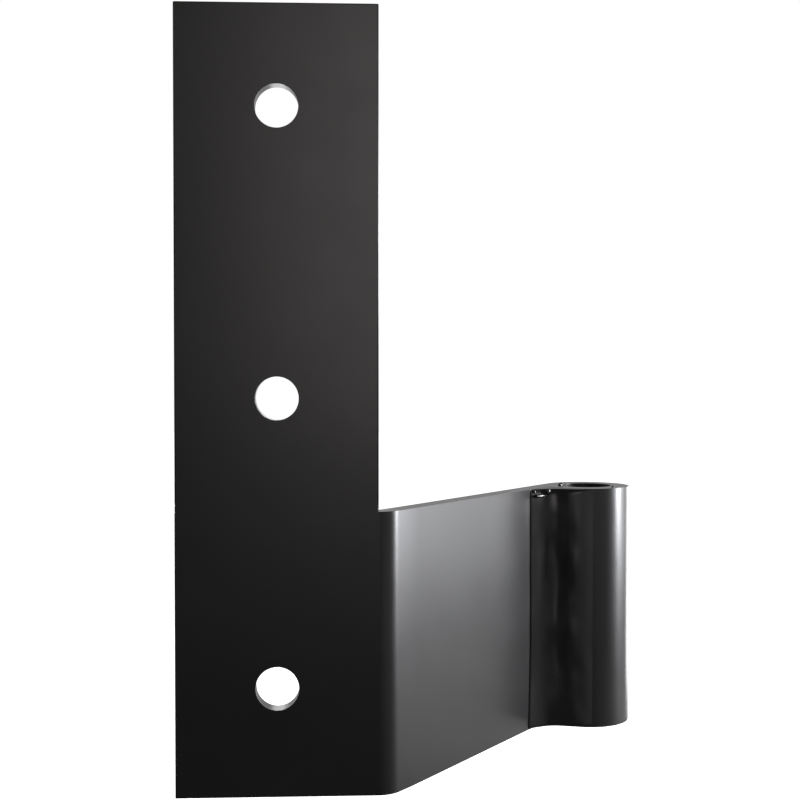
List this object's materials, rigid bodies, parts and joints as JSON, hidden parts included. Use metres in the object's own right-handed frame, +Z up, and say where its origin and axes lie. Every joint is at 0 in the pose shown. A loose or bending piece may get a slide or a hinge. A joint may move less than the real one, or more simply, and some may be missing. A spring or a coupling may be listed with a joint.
{
  "type": "door hinge",
  "caption": "Strap hinge leaf: upright plate with bolt holes, arm bent back from its lower end to a rolled eye, swinging on a round pin.",
  "frame": {"origin": "on the pin's axis, at the pin's foot, level with the leaf's lowest edge", "axes": "+Z up along the pin's axis and the plate's height, +X along the plate's width towards the eye, +Y from the plate's front to its back"},
  "size_m": [0.1138, 0.0781, 0.173],
  "materials": {
    "black_coat": "satin black powder coat",
    "weld_coat": "satin black powder coat over smooth weld metal",
    "pin_steel": "turned bright steel"
  },
  "bodies": {
    "pin": {"hinge_pin": "pin_steel"},
    "leaf": {"upper_plate": "black_coat", "strap": "black_coat", "plate_seam_weld_front": "weld_coat", "plate_seam_weld_back": "weld_coat", "barrel_seam_weld": "weld_coat"}
  },
  "joints": [
    {"name": "leaf_swing", "type": "hinge", "parent": "pin", "child": "leaf", "pos_m": [0, 0, 0.03125], "axis": [0, 0, 1], "range_deg": [0, 180]}
  ]
}
